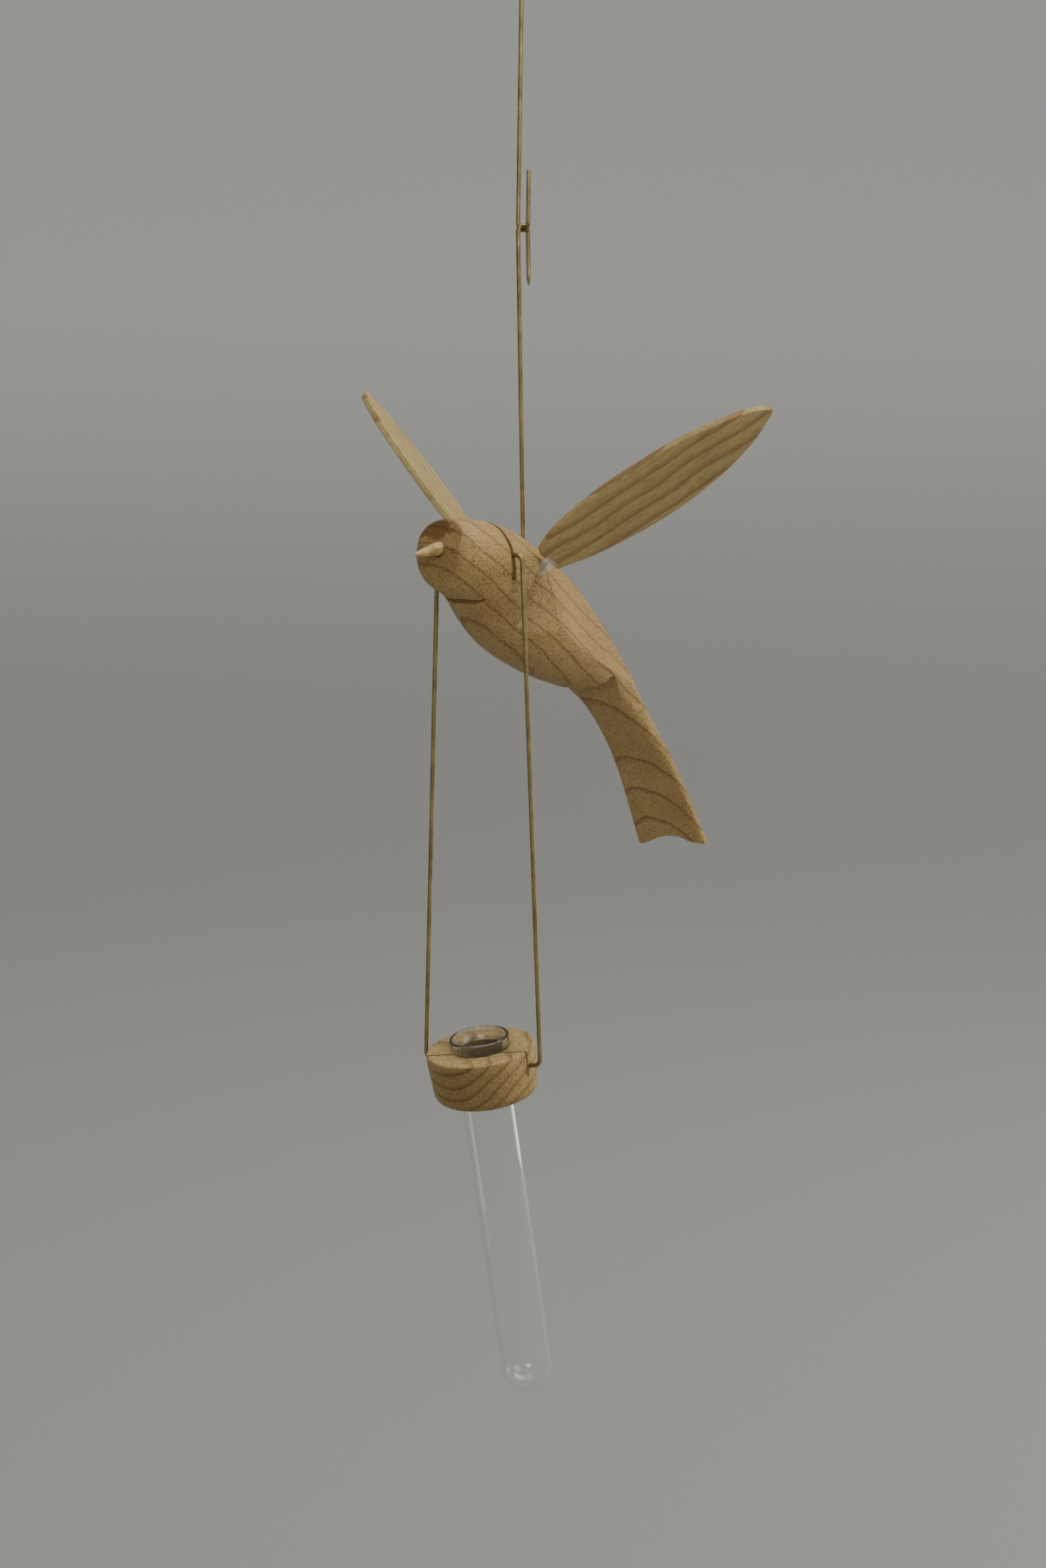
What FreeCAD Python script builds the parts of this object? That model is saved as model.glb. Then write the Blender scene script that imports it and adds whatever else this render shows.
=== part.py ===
import FreeCAD, Part
import math
import os
import Sketcher
from FreeCAD import Placement, Rotation, Vector

# Hanging bud vase: a carved wooden bird on a brass wire. A second brass wire lies in a saw cut
# across its neck and carries a turned wooden collar, which holds a glass tube.
# Frame: +Z up, origin at the centre of the hanging eye. The bird flies towards -Y, its left is +X.

doc = FreeCAD.newDocument("BirdVase")

# Driving sizes in millimetres and degrees
SIZES = {
    "wire_radius": 0.6,
    "running_gap": 0.05,
    "press_gap": 0.02,
    "cut_overrun": 2.0,
    "eye_radius": 5.0,
    "eye_sweep_angle": 325.0,
    "eye_neck_radius": 2.5,
    "hook_spread": 3.8,
    "hook_depth": 87.6,
    "hook_free_leg": 16.0,
    "hanger_plane_angle": -7.0,
    "drop_plane_angle": 83.0,
    "drop_length": 81.8,
    "drop_bury": 12.0,
    "point_length": 1.6,
    "point_radius": 0.2,
    "bird_run": 111.0,
    "bird_drop": 98.0,
    "bird_girth_depth": 29.4,
    "bird_girth_width": 28.2,
    "bird_nose_reach": 36.8,
    "bird_nose_drop": 3.3,
    "kerf_reach": 19.2,
    "kerf_seat_drop": 4.1,
    "kerf_side_drop": 11.0,
    "kerf_core_width": 21.0,
    "beak_radius": 1.85,
    "beak_length": 10.2,
    "beak_bury": 6.0,
    "beak_tip_radius": 0.35,
    "beak_droop_angle": 4.5,
    "beak_root_reach": 36.2,
    "beak_root_drop": 1.9,
    "chin_notch_height": 1.2,
    "chin_notch_depth": 5.0,
    "chin_reach": 28.0,
    "chin_drop": 17.0,
    "tail_notch_radius": 30.0,
    "tail_notch_depth": 4.4,
    "tail_skew_angle": 8.0,
    "wing_length": 75.6,
    "wing_chord": 26.0,
    "wing_thickness": 2.0,
    "wing_rise_angle": 34.0,
    "wing_sweep_angle": 18.5,
    "wing_pitch_angle": 35.0,
    "wing_root_half_width": 11.2,
    "wing_root_reach": 4.0,
    "wing_root_drop": 7.0,
    "strip_width": 5.0,
    "strip_thickness": 0.8,
    "strip_leaf_length": 4.0,
    "strip_bridge_length": 1.6,
    "strip_tongue_length": 2.4,
    "strip_socket_gap": 0.5,
    "yoke_top_half_width": 14.7,
    "yoke_height": 142.8,
    "yoke_foot_reach": 18.4,
    "yoke_foot_half_width": 18.4,
    "yoke_turn_angle": 9.0,
    "yoke_roll_angle": 4.0,
    "yoke_bend_radius": 2.0,
    "collar_radius": 15.3,
    "collar_foot_radius": 14.7,
    "collar_height": 14.5,
    "collar_foot_round": 3.2,
    "collar_rim_round": 0.7,
    "collar_pivot_depth": 4.6,
    "collar_tip_angle": 8.6,
    "pivot_hole_depth": 4.0,
    "pivot_end_gap": 0.3,
    "countersink_depth": 0.8,
    "collar_kerf_width": 0.7,
    "collar_kerf_depth": 7.6,
    "collar_kerf_offset": 5.3,
    "collar_kerf_angle": 15.7,
    "tube_radius": 7.5,
    "tube_wall": 1.0,
    "tube_length": 109.2,
    "tube_gap": 0.25,
    "lip_radius": 8.45,
    "lip_height": 3.2,
    "lip_flare": 3.6,
}

sheet = doc.addObject("Spreadsheet::Sheet", "Sizes")
for row, (alias, value) in enumerate(SIZES.items(), start=1):
    sheet.set(f"A{row}", alias)
    sheet.set(f"B{row}", str(value))
    sheet.setAlias(f"B{row}", alias)
doc.recompute()


class Size:
    """A number together with the sheet expression that gives it."""

    def __init__(self, value, text):
        self.value = float(value)
        self.text = text

    def __add__(self, other):
        return Size(self.value + other.value, f"({self.text} + {other.text})")

    def __sub__(self, other):
        return Size(self.value - other.value, f"({self.text} - {other.text})")

    def __mul__(self, share):
        return Size(self.value * share, f"({self.text} * {share})")

    def __neg__(self):
        return Size(-self.value, f"(-{self.text})")


def size(alias):
    """The sheet's value under an alias, with its expression."""
    return Size(sheet.get(alias), f"Sizes.{alias}")


def mm(alias):
    """The sheet's value under an alias, as a plain number."""
    return float(sheet.get(alias))


ZERO = Size(0, "0")
X_AXIS = Vector(1, 0, 0)
Y_AXIS = Vector(0, 1, 0)
Z_AXIS = Vector(0, 0, 1)
pieces = []


# Helpers for bodies and sketches
def new_body(label):
    """A body whose label names its file."""
    body = doc.addObject("PartDesign::Body", label)
    body.Label = label
    return body


def origin_plane(body, role):
    """The body's own origin plane with this role."""
    return next(item for item in body.Origin.OriginFeatures if item.Role == role)


def new_sketch(body, name, role, offset=None):
    """A sketch on one of the body's origin planes."""
    sketch = body.newObject("Sketcher::SketchObject", name)
    sketch.AttachmentSupport = [(origin_plane(body, role), "")]
    sketch.MapMode = "FlatFace"
    if offset is not None:
        sketch.AttachmentOffset = offset
    return sketch


def pin_point(sketch, geometry, end, place):
    """Fix one end of a line or arc at two sizes measured from the sketch's origin."""
    for kind, axis, distance in (("DistanceX", -2, place[0]), ("DistanceY", -1, place[1])):
        if distance.value == 0:
            sketch.addConstraint(Sketcher.Constraint("PointOnObject", geometry, end, axis))
            continue
        rule = sketch.addConstraint(Sketcher.Constraint(kind, -1, 1, geometry, end, distance.value))
        sketch.setExpression(f"Constraints[{rule}]", distance.text)


def outline(sketch, steps):
    """A closed outline. Each step is a start point and, for an arc, its radius and bulge side."""
    count = len(steps)
    spots = [Vector(step[0].value, step[1].value, 0) for step in steps]
    for index, step in enumerate(steps):
        start, end = spots[index], spots[(index + 1) % count]
        if len(step) == 2:
            sketch.addGeometry(Part.LineSegment(start, end))
            continue
        radius, side = step[2], step[3]
        middle, across = (start + end) * 0.5, (end - start)
        half = across.Length * 0.5
        normal = Vector(across.y, -across.x, 0).normalize() * side
        depth = radius.value - math.sqrt(max(radius.value ** 2 - half ** 2, 0))
        ends = (start, end) if side > 0 else (end, start)
        sketch.addGeometry(Part.Arc(ends[0], middle + normal * depth, ends[1]))
    for index, step in enumerate(steps):
        following = (index + 1) % count
        tail_end = end_of(sketch, index, spots[following])
        head_end = end_of(sketch, following, spots[following])
        sketch.addConstraint(Sketcher.Constraint("Coincident", index, tail_end, following, head_end))
    for index, step in enumerate(steps):
        pin_point(sketch, index, end_of(sketch, index, spots[index]), step)
        if len(step) > 2:
            rule = sketch.addConstraint(Sketcher.Constraint("Radius", index, step[2].value))
            sketch.setExpression(f"Constraints[{rule}]", step[2].text)


def end_of(sketch, geometry, spot):
    """Which end of a sketch edge, 1 or 2, lies at this spot."""
    edge = sketch.Geometry[geometry]
    return 1 if (edge.StartPoint - spot).Length < (edge.EndPoint - spot).Length else 2


def revolve(body, name, sketch):
    """Turn a half profile on the XZ plane about the body's Z axis."""
    feature = body.newObject("PartDesign::Revolution", name)
    feature.Profile = sketch
    feature.ReferenceAxis = (sketch, ["V_Axis"])
    feature.Angle = 360
    body.Tip = feature
    return feature


def drill(body, name, radius, length, place):
    """A round hole from a place, along that place's own Z axis."""
    hole = body.newObject("PartDesign::SubtractiveCylinder", name)
    hole.setExpression("Radius", radius.text)
    hole.setExpression("Height", length.text)
    hole.Placement = place
    body.Tip = hole
    return hole


def slot(body, name, lengths, place):
    """A box cut whose corner lies at a place, with three lengths along that place's axes."""
    cut = body.newObject("PartDesign::SubtractiveBox", name)
    for side, length in zip(("Length", "Width", "Height"), lengths):
        cut.setExpression(side, length.text)
    cut.Placement = place
    body.Tip = cut
    return cut


def finish(piece, place=None):
    """Put a piece in its place and keep it for the output."""
    if place is not None:
        piece.Placement = place
    pieces.append(piece)


# Helpers for bent wire
def bent_run(points, radius):
    """Straight runs through the points, joined by tangent arcs of one radius."""
    edges = []
    start = points[0]
    for index in range(1, len(points) - 1):
        before = (points[index - 1] - points[index]).normalize()
        after = (points[index + 1] - points[index]).normalize()
        half_turn = before.getAngle(after) * 0.5
        reach = radius / math.tan(half_turn)
        entry, leave = points[index] + before * reach, points[index] + after * reach
        centre_way = (before + after).normalize()
        centre = points[index] + centre_way * (radius / math.sin(half_turn))
        if (entry - start).Length > 1e-6:
            edges.append(Part.LineSegment(start, entry).toShape())
        edges.append(Part.Arc(entry, centre - centre_way * radius, leave).toShape())
        start = leave
    edges.append(Part.LineSegment(start, points[-1]).toShape())
    return edges


def bend_wire(label, edges, place=None, pointed=False):
    """Sweep the round wire section along a route, with a cut or a pointed far end."""
    radius = mm("wire_radius")
    route = doc.addObject("Part::Feature", f"{label}_route")
    route.Shape = Part.Wire(edges)
    first = edges[0]
    start = first.valueAt(first.FirstParameter)
    heading = first.tangentAt(first.FirstParameter)
    section = doc.addObject("Part::Circle", f"{label}_section")
    section.setExpression("Radius", "Sizes.wire_radius")
    section.Placement = Placement(start, Rotation(Z_AXIS, heading))
    sweep = doc.addObject("Part::Sweep", label)
    sweep.Sections = [section]
    sweep.Spine = (route, [f"Edge{index + 1}" for index in range(len(edges))])
    sweep.Solid = True
    sweep.Frenet = False
    if not pointed:
        sweep.Label = label
        finish(sweep, place)
        return
    sweep.Label = f"{label}_bar"
    last = edges[-1]
    point = doc.addObject("Part::Cone", f"{label}_point")
    point.setExpression("Radius1", "Sizes.wire_radius")
    point.setExpression("Radius2", "Sizes.point_radius")
    point.setExpression("Height", "Sizes.point_length")
    end, way = last.valueAt(last.LastParameter), last.tangentAt(last.LastParameter)
    point.Placement = Placement(end, Rotation(Z_AXIS, way))
    joined = doc.addObject("Part::Fuse", f"{label}_joined")
    joined.Base = sweep
    joined.Tool = point
    joined.Label = label
    finish(joined, place)


# Where the pieces hang
hook_centre = Vector(0, 0, -mm("hook_depth"))
bird_place = hook_centre - Vector(0, 0, mm("drop_length"))
yoke_bar = bird_place + Vector(0, -mm("kerf_reach"), -mm("kerf_seat_drop"))
yoke_foot = Vector(0, -mm("yoke_foot_reach"), yoke_bar.z - mm("yoke_height"))


# Upper wire: a hanging eye, a straight shank and an open hook
def build_hanger_wire():
    eye, neck, half_hook = mm("eye_radius"), mm("eye_neck_radius"), mm("hook_spread") * 0.5
    neck_drop = math.sqrt(2 * neck * eye + eye ** 2)
    touch_angle = math.atan2(-neck_drop, neck)
    loop_end = touch_angle + math.radians(mm("eye_sweep_angle"))

    def on_eye(angle):
        return Vector(eye * math.cos(angle), 0, eye * math.sin(angle))

    neck_centre = Vector(neck, 0, -neck_drop)
    neck_middle = math.pi - (math.pi + touch_angle) * 0.5
    neck_point = neck_centre + Vector(math.cos(neck_middle), 0, math.sin(neck_middle)) * neck
    shank_top = Vector(0, 0, -neck_drop)
    loop = Part.Arc(on_eye(loop_end), on_eye((loop_end + touch_angle) * 0.5), on_eye(touch_angle))
    bow = Part.Arc(on_eye(touch_angle), neck_point, shank_top)
    floor = -mm("hook_depth")
    free_top = floor + mm("hook_free_leg")
    corners = [shank_top, Vector(0, 0, floor), Vector(2 * half_hook, 0, floor), Vector(2 * half_hook, 0, free_top)]
    edges = [loop.toShape(), bow.toShape()] + bent_run(corners, half_hook)
    plumb = math.degrees(math.atan2(half_hook, mm("hook_depth")))
    turn = Rotation(Z_AXIS, mm("hanger_plane_angle")) * Rotation(Y_AXIS, plumb)
    bend_wire("hanger_wire", edges, Placement(Vector(), turn))


# Lower wire: an open hook over the upper one and a shank glued into the bird's back
def build_suspension_wire():
    half_hook = mm("hook_spread") * 0.5
    crown = 2 * mm("wire_radius") + mm("running_gap")
    foot = -mm("drop_length") - mm("drop_bury")
    free_end = crown - mm("hook_free_leg") + mm("point_length")
    corners = [Vector(-half_hook, 0, foot), Vector(-half_hook, 0, crown), Vector(half_hook, 0, crown),
               Vector(half_hook, 0, free_end)]
    plumb = math.degrees(math.atan2(-half_hook, mm("drop_length")))
    turn = Rotation(Z_AXIS, mm("drop_plane_angle")) * Rotation(Y_AXIS, plumb)
    bend_wire("suspension_wire", bent_run(corners, half_hook), Placement(hook_centre, turn), pointed=True)
    return turn, Vector(-half_hook, 0, -mm("drop_length"))


# Bird body: sections along the curved back, each a rounded outline square to it
STATION_SHARES = [
    # along the run, down the drop, slope in degrees, half depth, half width, squareness
    (0.000, 0.004, 0, 0.24, 0.25, 2.1),
    (0.022, 0.007, 0, 0.325, 0.355, 2.1),
    (0.082, 0.019, 5, 0.368, 0.412, 2.2),
    (0.152, 0.052, 18, 0.435, 0.430, 2.2),
    (0.217, 0.098, 30, 0.492, 0.458, 2.2),
    (0.302, 0.165, 36, 0.520, 0.497, 2.2),
    (0.398, 0.232, 38, 0.503, 0.497, 2.2),
    (0.491, 0.299, 38, 0.422, 0.460, 2.4),
    (0.584, 0.370, 42, 0.30, 0.392, 2.7),
    (0.672, 0.448, 48, 0.185, 0.338, 3.0),
    (0.757, 0.556, 52, 0.11, 0.325, 3.6),
    (0.862, 0.712, 55, 0.068, 0.372, 4.0),
    (1.000, 0.985, 57, 0.056, 0.455, 4.0),
]
SECTION_POINTS = 24


def section_ring(station):
    """Points round one section of the bird, square to its back at a station."""
    along, down, slope, depth_share, width_share, squareness = station
    centre = Vector(0, along * mm("bird_run") - mm("bird_nose_reach"), -mm("bird_nose_drop") - down * mm("bird_drop"))
    place = Placement(centre, Rotation(X_AXIS, -slope))
    half_depth, half_width = depth_share * mm("bird_girth_depth"), width_share * mm("bird_girth_width")
    ring = []
    for index in range(SECTION_POINTS):
        angle = 2 * math.pi * index / SECTION_POINTS
        across, upright = math.cos(angle), math.sin(angle)
        ring.append(place.multVec(Vector(
            half_width * math.copysign(abs(across) ** (2 / squareness), across), 0,
            half_depth * math.copysign(abs(upright) ** (2 / squareness), upright))))
    return centre, ring


def carved_skin():
    """One smooth surface through all the sections, closed round the bird."""
    stations = [section_ring(station) for station in STATION_SHARES]
    reached = [0.0]
    for (before, _), (after, _) in zip(stations, stations[1:]):
        reached.append(reached[-1] + (after - before).Length)
    runs = []
    for index in range(SECTION_POINTS):
        run = Part.BSplineCurve()
        run.interpolate(Points=[ring[index] for _, ring in stations], Parameters=reached)
        runs.append(run)
    poles, ring = [], None
    for spots in zip(*(run.getPoles() for run in runs)):
        ring = Part.BSplineCurve()
        ring.interpolate(Points=list(spots), PeriodicFlag=True, Parameters=list(range(SECTION_POINTS + 1)))
        poles.append(ring.getPoles())
    skin = Part.BSplineSurface()
    skin.buildFromPolesMultsKnots(poles, runs[0].getMultiplicities(), ring.getMultiplicities(),
                                  runs[0].getKnots(), ring.getKnots(), False, True,
                                  runs[0].Degree, ring.Degree)
    return skin.toShape()


def build_bird(wire_turn, wire_entry):
    skin = carved_skin()
    ends = [edge for edge in skin.Edges if len(skin.ancestorsOfType(edge, Part.Face)) == 1
            and edge.isClosed()]
    shell = Part.makeShell([skin] + [Part.Face(Part.Wire([edge])) for edge in ends])
    shell.sewShape()
    solid = Part.makeSolid(shell)
    tightness = mm("press_gap")
    solid.fix(tightness, tightness, tightness)
    carved = doc.addObject("Part::Feature", "carved_form")
    carved.Shape = solid
    body = new_body("bird_body")
    body.BaseFeature = carved
    doc.recompute()
    cut_neck_kerf(body)
    drill_back(body, wire_turn, wire_entry)
    drill_beak_hole(body)
    cut_chin(body)
    cut_tail_end(body)
    for side in (1, -1):
        cut_strip_socket(body, side)
    finish(body, Placement(bird_place, Rotation()))


def cut_neck_kerf(body):
    """The saw cut that the yoke lies in: a seat across the neck and a deeper run-out on each side."""
    overrun, seat = size("cut_overrun"), size("kerf_seat_drop") + size("wire_radius") + size("press_gap")
    half_width = size("bird_girth_width") * 0.5 + overrun
    half_core = size("kerf_core_width") * 0.5
    place = Placement(Vector(0, 0, mm("kerf_reach")), Rotation())
    sketch = new_sketch(body, "kerf_outline", "XZ_Plane", place)
    low = -size("kerf_side_drop")
    shoulder = size("kerf_core_width") * 0.42
    top = size("bird_girth_depth")
    outline(sketch, [(-half_width, top), (-half_width, low), (-half_core, low), (-shoulder, -seat),
                     (shoulder, -seat), (half_core, low), (half_width, low), (half_width, top)])
    kerf = body.newObject("PartDesign::Pocket", "neck_kerf")
    kerf.Profile = sketch
    kerf.Midplane = True
    kerf.setExpression("Length", ((size("wire_radius") + size("running_gap") * 1.6) * 2).text)
    body.Tip = kerf


def drill_back(body, wire_turn, wire_entry):
    """The hole in the back that the suspension wire is glued into."""
    way = wire_turn.multVec(Z_AXIS)
    shift = hook_centre + wire_turn.multVec(wire_entry) - bird_place
    overrun = size("cut_overrun") * 3
    depth = size("drop_bury") + size("running_gap")
    start = shift - way * depth.value
    drill(body, "back_hole", size("wire_radius") + size("press_gap"), depth + overrun,
          Placement(start, Rotation(Z_AXIS, way)))


def beak_place():
    """Where the beak leaves the head, in the bird's own frame, with Z along the beak."""
    root = Vector(0, -mm("beak_root_reach"), -mm("beak_root_drop"))
    return Placement(root, Rotation(X_AXIS, 90 + mm("beak_droop_angle")))


def drill_beak_hole(body):
    bury = size("beak_bury")
    place = beak_place() * Placement(Vector(0, 0, -bury.value), Rotation())
    drill(body, "beak_hole", size("beak_radius") + size("press_gap"), bury + size("cut_overrun") * 2, place)


def cut_chin(body):
    """The undercut that parts the chin from the breast."""
    half_height, depth = size("chin_notch_height") * 0.5, size("chin_notch_depth")
    place = Placement(Vector(-mm("bird_girth_width"), -mm("chin_reach") - mm("cut_overrun") * 2, -mm("chin_drop")),
                      Rotation(X_AXIS, mm("beak_droop_angle")))
    slot(body, "chin_notch", (size("bird_girth_width") * 2, depth + size("cut_overrun") * 2, half_height * 2), place)


def tail_place():
    """The middle of the tail's end, in the bird's own frame, with Z along the tail."""
    slope = STATION_SHARES[-1][2]
    end = Vector(0, mm("bird_run") - mm("bird_nose_reach"), -mm("bird_nose_drop") - mm("bird_drop"))
    return Placement(end, Rotation(X_AXIS, -90 - slope))


def cut_tail_end(body):
    """The shallow arc across the tail's end."""
    radius, depth = size("tail_notch_radius"), size("tail_notch_depth")
    aside = radius.value * math.sin(math.radians(mm("tail_skew_angle")))
    shift = Placement(Vector(aside, -mm("bird_girth_depth") * 0.5, radius.value - depth.value),
                      Rotation(X_AXIS, -90))
    drill(body, "tail_notch", radius, size("bird_girth_depth"), tail_place() * shift)


# Wings: thin leaves, each carried by a clear flexible strip let into the body
LEADING_SHARES = [(0.012, -0.18), (0.10, -0.33), (0.19, -0.40), (0.34, -0.452), (0.53, -0.443),
                  (0.71, -0.39), (0.87, -0.262), (0.965, -0.13), (1.0, -0.02)]
TRAILING_SHARES = [(1.0, -0.02), (0.99, 0.04), (0.945, 0.115), (0.86, 0.25), (0.70, 0.385), (0.50, 0.455),
                   (0.32, 0.42), (0.15, 0.325), (0.03, 0.20), (0.004, 0.15)]


def wing_place(side):
    """A wing's frame: X from root to tip, Y along the chord, at the wing's root."""
    sweep, rise, pitch = mm("wing_sweep_angle"), mm("wing_rise_angle"), mm("wing_pitch_angle")
    heading = sweep if side > 0 else 180 - sweep
    turn = Rotation(Z_AXIS, heading) * Rotation(Y_AXIS, -rise) * Rotation(X_AXIS, -side * pitch)
    root = Vector(side * mm("wing_root_half_width"), -mm("wing_root_reach"), -mm("wing_root_drop"))
    return Placement(root, turn)


def build_wing(side, label):
    body = new_body(label)
    sketch = new_sketch(body, f"{label}_outline", "XY_Plane")
    length, chord = mm("wing_length"), mm("wing_chord")
    curves = []
    for shares in (LEADING_SHARES, TRAILING_SHARES):
        curve = Part.BSplineCurve()
        curve.interpolate([Vector(along * length, side * across * chord, 0) for along, across in shares])
        curves.append(curve)
    first, last = curves[0].StartPoint, curves[1].EndPoint
    for geometry in (curves[0], curves[1], Part.LineSegment(last, first)):
        sketch.addGeometry(geometry)
    pad = body.newObject("PartDesign::Pad", f"{label}_blank")
    pad.Profile = sketch
    pad.Midplane = True
    pad.setExpression("Length", size("wing_thickness").text)
    body.Tip = pad
    finish(body, Placement(bird_place, Rotation()) * wing_place(side))


def strip_height():
    """The height of a strip's middle over its wing's middle: it lies face to face under the wing."""
    return -(mm("wing_thickness") + mm("strip_thickness")) * 0.5


def build_strip(side, label):
    body = new_body(label)
    sketch = new_sketch(body, f"{label}_plan", "XY_Plane")
    half_width = size("strip_width") * 0.5
    inner = -(size("strip_bridge_length") + size("strip_tongue_length"))
    outer = size("strip_leaf_length")
    outline(sketch, [(inner, -half_width), (outer, -half_width), (outer, half_width), (inner, half_width)])
    pad = body.newObject("PartDesign::Pad", f"{label}_sheet")
    pad.Profile = sketch
    pad.Midplane = True
    pad.setExpression("Length", size("strip_thickness").text)
    body.Tip = pad
    drop = Placement(Vector(0, 0, strip_height()), Rotation())
    finish(body, Placement(bird_place, Rotation()) * wing_place(side) * drop)


def cut_strip_socket(body, side):
    """The socket in the body for a wing strip's inner end."""
    gap = size("strip_socket_gap")
    length = size("strip_tongue_length") + gap
    width = size("strip_width") + gap * 2
    height = size("strip_thickness") + gap * 2
    inner = -mm("strip_bridge_length") - mm("strip_tongue_length") - gap.value
    corner = Vector(inner, -width.value * 0.5, strip_height() - height.value * 0.5)
    name = "left_socket" if side > 0 else "right_socket"
    slot(body, name, (length + size("strip_bridge_length"), width, height),
         wing_place(side) * Placement(corner, Rotation()))


# Beak: a whittled peg
def build_beak():
    body = new_body("beak")
    sketch = new_sketch(body, "beak_profile", "XZ_Plane")
    radius, length, bury = size("beak_radius"), size("beak_length"), size("beak_bury")
    tip = size("beak_tip_radius")
    outline(sketch, [(ZERO, -bury), (radius, -bury), (radius, length * 0.12),
                     (radius * 0.86, length * 0.45), (tip, length), (ZERO, length + tip * 0.5)])
    revolve(body, "whittled_peg", sketch)
    finish(body, Placement(bird_place, Rotation()) * beak_place())


# Yoke: one wire over the neck, down both sides and in at the collar
def yoke_turn():
    """The turn of the pivot line: X along it, from the bird's right to its left."""
    return Rotation(Z_AXIS, mm("yoke_turn_angle")) * Rotation(Y_AXIS, -mm("yoke_roll_angle"))


def build_yoke_wire():
    turn = yoke_turn()
    half_top, half_foot = mm("yoke_top_half_width"), mm("yoke_foot_half_width")
    inner_end = mm("collar_radius") - mm("pivot_hole_depth") + mm("pivot_end_gap")
    points = [yoke_foot + turn.multVec(Vector(-inner_end, 0, 0)),
              yoke_foot + turn.multVec(Vector(-half_foot, 0, 0)),
              yoke_bar + Vector(-half_top, 0, 0),
              yoke_bar + Vector(half_top, 0, 0),
              yoke_foot + turn.multVec(Vector(half_foot, 0, 0)),
              yoke_foot + turn.multVec(Vector(inner_end, 0, 0))]
    bend_wire("yoke_wire", bent_run(points, mm("yoke_bend_radius")))


# Collar: a turned ring with a pivot hole on each side and a saw cut across its top
def collar_place():
    return Placement(yoke_foot, yoke_turn() * Rotation(X_AXIS, mm("collar_tip_angle")))


def build_collar():
    body = new_body("collar")
    sketch = new_sketch(body, "collar_profile", "XZ_Plane")
    bore = size("tube_radius") + size("tube_gap")
    sink, depth = size("countersink_depth"), size("collar_pivot_depth")
    radius, foot, rim = size("collar_radius"), size("collar_foot_radius"), size("collar_rim_round")
    low, corner = depth - size("collar_height"), size("collar_foot_round")
    outline(sketch, [(bore, low), (foot - corner * 0.7, low, corner, 1), (foot + corner * 0.16, low + corner * 1.1),
                     (radius, depth - rim * 4), (radius, depth - rim, rim, 1), (radius - rim, depth),
                     (bore + sink, depth), (bore, depth - sink)])
    revolve(body, "turned_ring", sketch)
    hole_radius = size("wire_radius") + size("running_gap")
    hole_depth, overrun = size("pivot_hole_depth"), size("cut_overrun")
    for side, name in ((1, "left_pivot"), (-1, "right_pivot")):
        start = Vector(side * (mm("collar_radius") - hole_depth.value), 0, 0)
        drill(body, name, hole_radius, hole_depth + overrun, Placement(start, Rotation(Z_AXIS, X_AXIS * side)))
    cut_collar_kerf(body)
    finish(body, collar_place())


def cut_collar_kerf(body):
    """The narrow saw cut across the collar's top, in front of the tube."""
    width, depth = size("collar_kerf_width"), size("collar_kerf_depth")
    overrun, span = size("cut_overrun"), size("collar_radius") * 2
    along = Rotation(Z_AXIS, mm("collar_kerf_angle"))
    middle = along.multVec(Vector(0, -mm("collar_kerf_offset"), 0))
    corner = Vector(-span.value * 0.5 - overrun.value, -width.value * 0.5, mm("collar_pivot_depth") - depth.value)
    slot(body, "collar_kerf", (span + overrun * 2, width, depth + overrun),
         Placement(middle, along) * Placement(corner, Rotation()))


# Tube: blown glass with a flared, fire-polished lip and a round end
def build_tube():
    body = new_body("test_tube")
    sketch = new_sketch(body, "tube_profile", "XZ_Plane")
    outer, wall = size("tube_radius"), size("tube_wall")
    inner = outer - wall
    top = size("collar_pivot_depth") + size("lip_height")
    end = top - size("tube_length")
    lip, half_wall, bead = size("lip_radius"), wall * 0.5, wall * 0.55
    seat = size("collar_pivot_depth") + size("tube_gap") * 0.5
    outline(sketch, [(ZERO, end, outer, 1), (outer, end + outer), (outer, seat - size("countersink_depth")),
                     (lip - wall * 0.35, seat - size("countersink_depth") * 0.2),
                     (lip, top - half_wall, bead, 1),
                     (lip - wall, top - half_wall), (inner, top - size("lip_flare")),
                     (inner, end + outer, inner, -1), (ZERO, end + wall)])
    revolve(body, "blown_glass", sketch)
    finish(body, collar_place())


build_hanger_wire()
wire_turn, wire_entry = build_suspension_wire()
build_bird(wire_turn, wire_entry)
build_beak()
for side, word in ((1, "left"), (-1, "right")):
    build_wing(side, f"{word}_wing")
    build_strip(side, f"{word}_wing_strip")
build_yoke_wire()
build_collar()
build_tube()
doc.recompute()

# Check every object before anything is written
for item in doc.Objects:
    if "Invalid" in item.State or "Error" in item.State:
        raise RuntimeError(f"{item.Label} is {item.State}")
for piece in pieces:
    if piece.Shape.isNull() or not piece.Shape.isValid() or len(piece.Shape.Solids) != 1:
        raise RuntimeError(f"{piece.Label} is not one valid solid")

os.makedirs("parts", exist_ok=True)
for piece in pieces:
    piece.Shape.exportStep(f"parts/{piece.Label}.step")
    box = piece.Shape.BoundBox
    print(piece.Label, f"volume {piece.Shape.Volume:.1f}", f"z {box.ZMin:.1f} to {box.ZMax:.1f}")
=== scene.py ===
"""Hanging bud vase: a carved wooden bird on brass wire that carries a glass tube in a turned collar."""
import logging
import math
from collections.abc import Callable
from dataclasses import dataclass, replace
from enum import Enum
from typing import TypeVar

import bmesh
import bpy
from bmesh.types import BMEdge, BMesh
from bpy.types import ID, Material, Node, NodeSocket as Socket, NodeTree, Object
from mathutils import Matrix, Vector


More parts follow.
